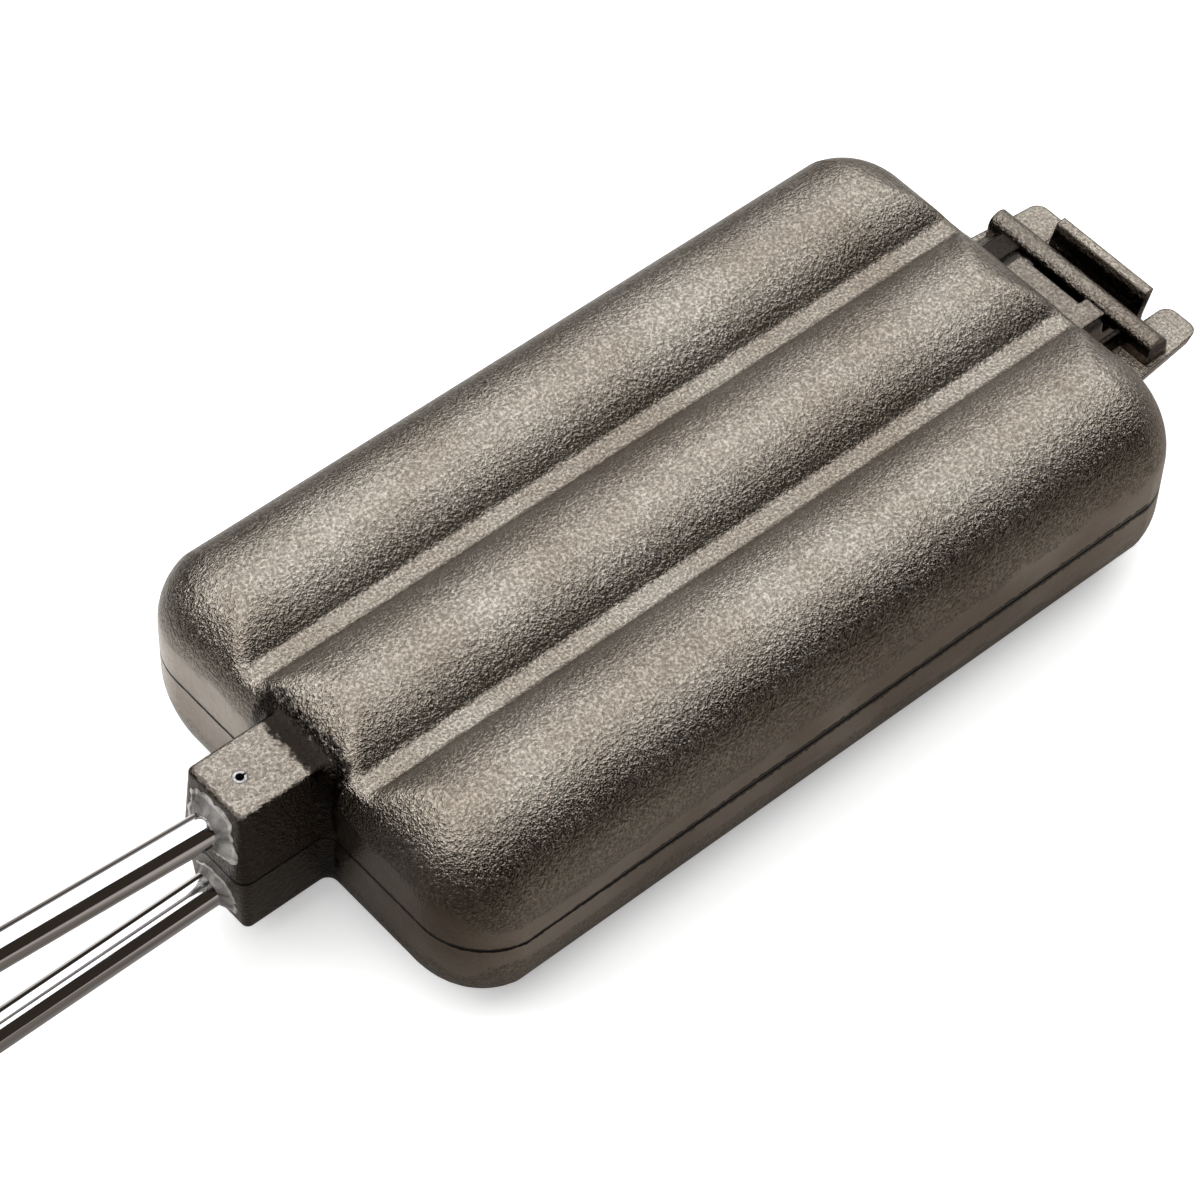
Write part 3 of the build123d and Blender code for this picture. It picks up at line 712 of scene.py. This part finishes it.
def mirrored_painted_shade(tree, place):
    """Paper colour for glossy rays, with painted shade and painted shadow by its place round the
    head.
    """
    from_head = node(tree, "ShaderNodeVectorMath", {0: place, 1: (head_centre.x, 0, 0)},
                     out=0, operation="SUBTRACT")
    one_quarter = node(tree, "ShaderNodeVectorMath", {0: from_head}, out=0, operation="ABSOLUTE")
    beyond = node(tree, "ShaderNodeVectorMath", {
        0: one_quarter, 1: (HEAD_LENGTH / 2, HEAD_WIDTH / 2, 0)}, out=0, operation="SUBTRACT")
    outside = node(tree, "ShaderNodeVectorMath", {0: beyond, 1: (0, 0, 0)},
                   out=0, operation="MAXIMUM")
    away = node(tree, "ShaderNodeVectorMath", {0: outside}, out="Value", operation="LENGTH")
    apart = node(tree, "ShaderNodeSeparateXYZ", {"Vector": place}).outputs
    # Masks for painted shade far from the head, and painted shadow in front of it and at the rods'
    # end.
    far = node(tree, "ShaderNodeMapRange", {"Value": away, **span(*FAR_MM)}, out=0)
    front = node(tree, "ShaderNodeMapRange", {"Value": apart["Y"], **span(*FRONT_MM)}, out=0)
    rods_end = node(tree, "ShaderNodeMapRange", {
        "Value": apart["X"], **span(*RODS_END_MM, head_start)}, out=0)
    far_shade_tone = node(tree, "ShaderNodeMix", {
        0: rods_end, 6: colour(FAR_SHADE_TONE), 7: colour(FAR_RODS_SHADOW_TONE)}, out=2, data_type="RGBA")
    front_shadow_tone = node(tree, "ShaderNodeMix", {
        0: rods_end, 6: colour(FRONT_SHADOW_TONE), 7: colour(FRONT_RODS_SHADOW_TONE)}, out=2, data_type="RGBA")
    shaded = node(tree, "ShaderNodeMix", {0: far, 6: colour(CLOSE_TONE), 7: far_shade_tone},
                  out=2, data_type="RGBA")
    return node(tree, "ShaderNodeMix", {0: front, 6: shaded, 7: front_shadow_tone},
                out=2, data_type="RGBA")


def white_paper():
    """Matt paper, lifted for the camera, which sees it as pure white outside the shadow."""
    material, tree, shader = new_material("white_paper")
    tree.nodes.remove(shader)
    path = node(tree, "ShaderNodeLightPath").outputs
    place = node(tree, "ShaderNodeTexCoord", out="Object")
    # Glossy rays see the paper in its painted shade and painted shadow colours.
    tone = node(tree, "ShaderNodeMix", {
        0: path["Is Glossy Ray"], 6: colour(PAPER_WHITE), 7: mirrored_painted_shade(tree, place)},
        out=2, data_type="RGBA")
    card = node(tree, "ShaderNodeBsdfDiffuse", {"Color": tone}, out=0)
    lift = node(tree, "ShaderNodeEmission", {
        "Color": (1, 1, 1, 1), "Strength": PAPER_LIFT}, out=0)
    both = node(tree, "ShaderNodeAddShader", {0: card, 1: lift}, out=0)
    blank = node(tree, "ShaderNodeEmission", {"Color": (1, 1, 1, 1), "Strength": 1.0}, out=0)
    from_middle = node(tree, "ShaderNodeVectorMath", {0: place}, out="Value", operation="LENGTH")
    distant = node(tree, "ShaderNodeMapRange", {"Value": from_middle, **span(*BLANK_MM)}, out=0)
    seen = node(tree, "ShaderNodeMixShader", {0: distant, 1: both, 2: blank}, out=0)
    choice = node(tree, "ShaderNodeMixShader", {0: path["Is Camera Ray"], 1: card, 2: seen}, out=0)
    tree.links.new(choice, tree.nodes["Material Output"].inputs["Surface"])
    return material


sheet = bmesh.new()
bmesh.ops.create_grid(sheet, x_segments=1, y_segments=1, size=PAPER_SIZE)
floor_mesh = bpy.data.meshes.new("table")
sheet.to_mesh(floor_mesh)
sheet.free()
floor = bpy.data.objects.new("table", floor_mesh)
floor_mesh.materials.append(white_paper())
bpy.context.scene.collection.objects.link(floor)
print("paper covers", [round(v, 1) for v in floor.dimensions[:2]], "m")

# %% [markdown]
# A flat panel hangs over the cooker. It reaches further to +Y and -X than to the other
# sides, which is read from the flanks: a face turned 30 degrees to -Y still catches the
# panel's edge, while one turned as far to +Y sees all of it. A small second panel stands
# behind the rods' end and lights the rounded near ends of the crowns.

# %% Lights
PANEL_HEIGHT = 1.25
PANEL_OFFSET = (-0.20, 0.60, 1.0)
PANEL_SHAPE = (3.4, 2.3)
PANEL_RADIANCE = 2.25
END_OFFSET = (-0.86, 0.70, 1.0)
END_SIZE = 0.7
END_RADIANCE = 2.2


def softbox(name, centre, target, size, radiance):
    """Rectangular area light at a place, facing a target. Its power follows from its size."""
    lamp = bpy.data.lights.new(name, "AREA")
    lamp.shape = "RECTANGLE"
    lamp.size, lamp.size_y = size
    lamp.energy = radiance * size[0] * size[1] * pi
    lamp_object = bpy.data.objects.new(name, lamp)
    direction = Vector(target) - Vector(centre)
    lamp_object.rotation_euler = direction.to_track_quat("-Z", "Y").to_euler()
    lamp_object.location = centre
    lamp_object.visible_camera = False
    bpy.context.scene.collection.objects.link(lamp_object)
    print(name, "shines with", round(lamp.energy, 1), "W")


panel_centre = head_centre + Vector(PANEL_OFFSET) * PANEL_HEIGHT
panel_size = [side * PANEL_HEIGHT for side in PANEL_SHAPE]
straight_down = panel_centre - Vector((0, 0, 1))
softbox("overhead_panel", panel_centre, straight_down, panel_size, PANEL_RADIANCE)
end_centre = head_centre + Vector(END_OFFSET)
softbox("end_panel", end_centre, head_centre, (END_SIZE, END_SIZE), END_RADIANCE)

# %% [markdown]
# The world holds the paper that rises behind the cooker, as a soft bright patch above the
# horizon, and the dark room everywhere else. The camera sees plain white instead.

# %% World
BACKDROP_HEADING, BACKDROP_RISE = radians(28), radians(19)
BACKDROP_EDGE = (0.76, 0.95)
BACKDROP_LIGHT = 1.2
ROOM_COLOUR = "#37302A"

backdrop_way = Vector((
    cos(BACKDROP_HEADING) * cos(BACKDROP_RISE),
    sin(BACKDROP_HEADING) * cos(BACKDROP_RISE),
    sin(BACKDROP_RISE),
))
world = bpy.data.worlds.new("studio")
bpy.context.scene.world = world
world.use_nodes = True
sky = world.node_tree
sky.nodes.clear()
way = node(sky, "ShaderNodeTexCoord", out="Generated")
towards = node(sky, "ShaderNodeVectorMath", {0: way, 1: backdrop_way},
               out="Value", operation="DOT_PRODUCT")
share = node(sky, "ShaderNodeMapRange", {
    "Value": towards, "From Min": BACKDROP_EDGE[0], "From Max": BACKDROP_EDGE[1]},
    out=0, interpolation_type="SMOOTHSTEP")
tone = node(sky, "ShaderNodeMix", {
    0: share, 6: colour(ROOM_COLOUR), 7: (BACKDROP_LIGHT, BACKDROP_LIGHT, BACKDROP_LIGHT, 1.0)},
    out=2, data_type="RGBA")
room = node(sky, "ShaderNodeBackground", {"Color": tone, "Strength": 1.0}, out=0)
white = node(sky, "ShaderNodeBackground", {"Color": (1, 1, 1, 1), "Strength": 1.0}, out=0)
camera_ray = node(sky, "ShaderNodeLightPath", out="Is Camera Ray")
pick = node(sky, "ShaderNodeMixShader", {0: camera_ray, 1: room, 2: white}, out=0)
node(sky, "ShaderNodeOutputWorld", {"Surface": pick})
print("world nodes:", len(sky.nodes))

bpy.context.scene.view_settings.view_transform = "Standard"
